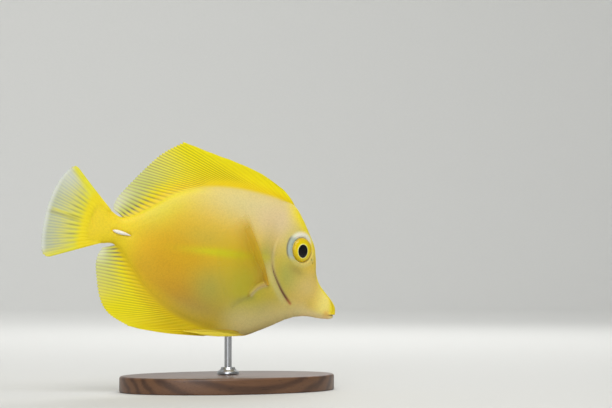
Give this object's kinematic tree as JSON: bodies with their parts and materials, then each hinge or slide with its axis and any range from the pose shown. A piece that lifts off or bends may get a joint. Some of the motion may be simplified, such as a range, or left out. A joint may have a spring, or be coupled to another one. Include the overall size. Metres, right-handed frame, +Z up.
{
  "type": "yellow tang fish model",
  "caption": "Life-size still model of a yellow tang, nose down with raised fins, held over a flat oval base by a rod in its belly.",
  "frame": {"origin": "centre of the underside of the stand's oval base", "axes": "+X along the model, towards the fish's nose; +Y towards the fish's left side; +Z up"},
  "size_m": [0.1153, 0.054, 0.093],
  "materials": {
    "skin": "wet fish skin, satin, yellow with a greyer cheek and breast",
    "fin_membrane": "yellow fin membrane over rays, paler towards its rear edge",
    "eye": "polished, yellow iris with a black pupil",
    "tail_blade": "white, bone-like",
    "stand_wood": "dark oiled walnut",
    "stand_steel": "satin"
  },
  "bodies": {
    "root": {"head": "skin", "lower_jaw": "skin", "gill_cover_left": "skin", "gill_cover_right": "skin", "torso": "skin", "tail_root": "skin", "eye_left": "eye", "eye_right": "eye", "dorsal_fin": "fin_membrane", "anal_fin": "fin_membrane", "tail_fin": "fin_membrane", "pectoral_fin_left": "fin_membrane", "pectoral_fin_right": "fin_membrane", "pelvic_fin_left": "fin_membrane", "pelvic_fin_right": "fin_membrane", "tail_blade_left": "tail_blade", "tail_blade_right": "tail_blade", "stand_base": "stand_wood", "stand_rod": "stand_steel", "stand_collar": "stand_steel"}
  },
  "joints": []
}
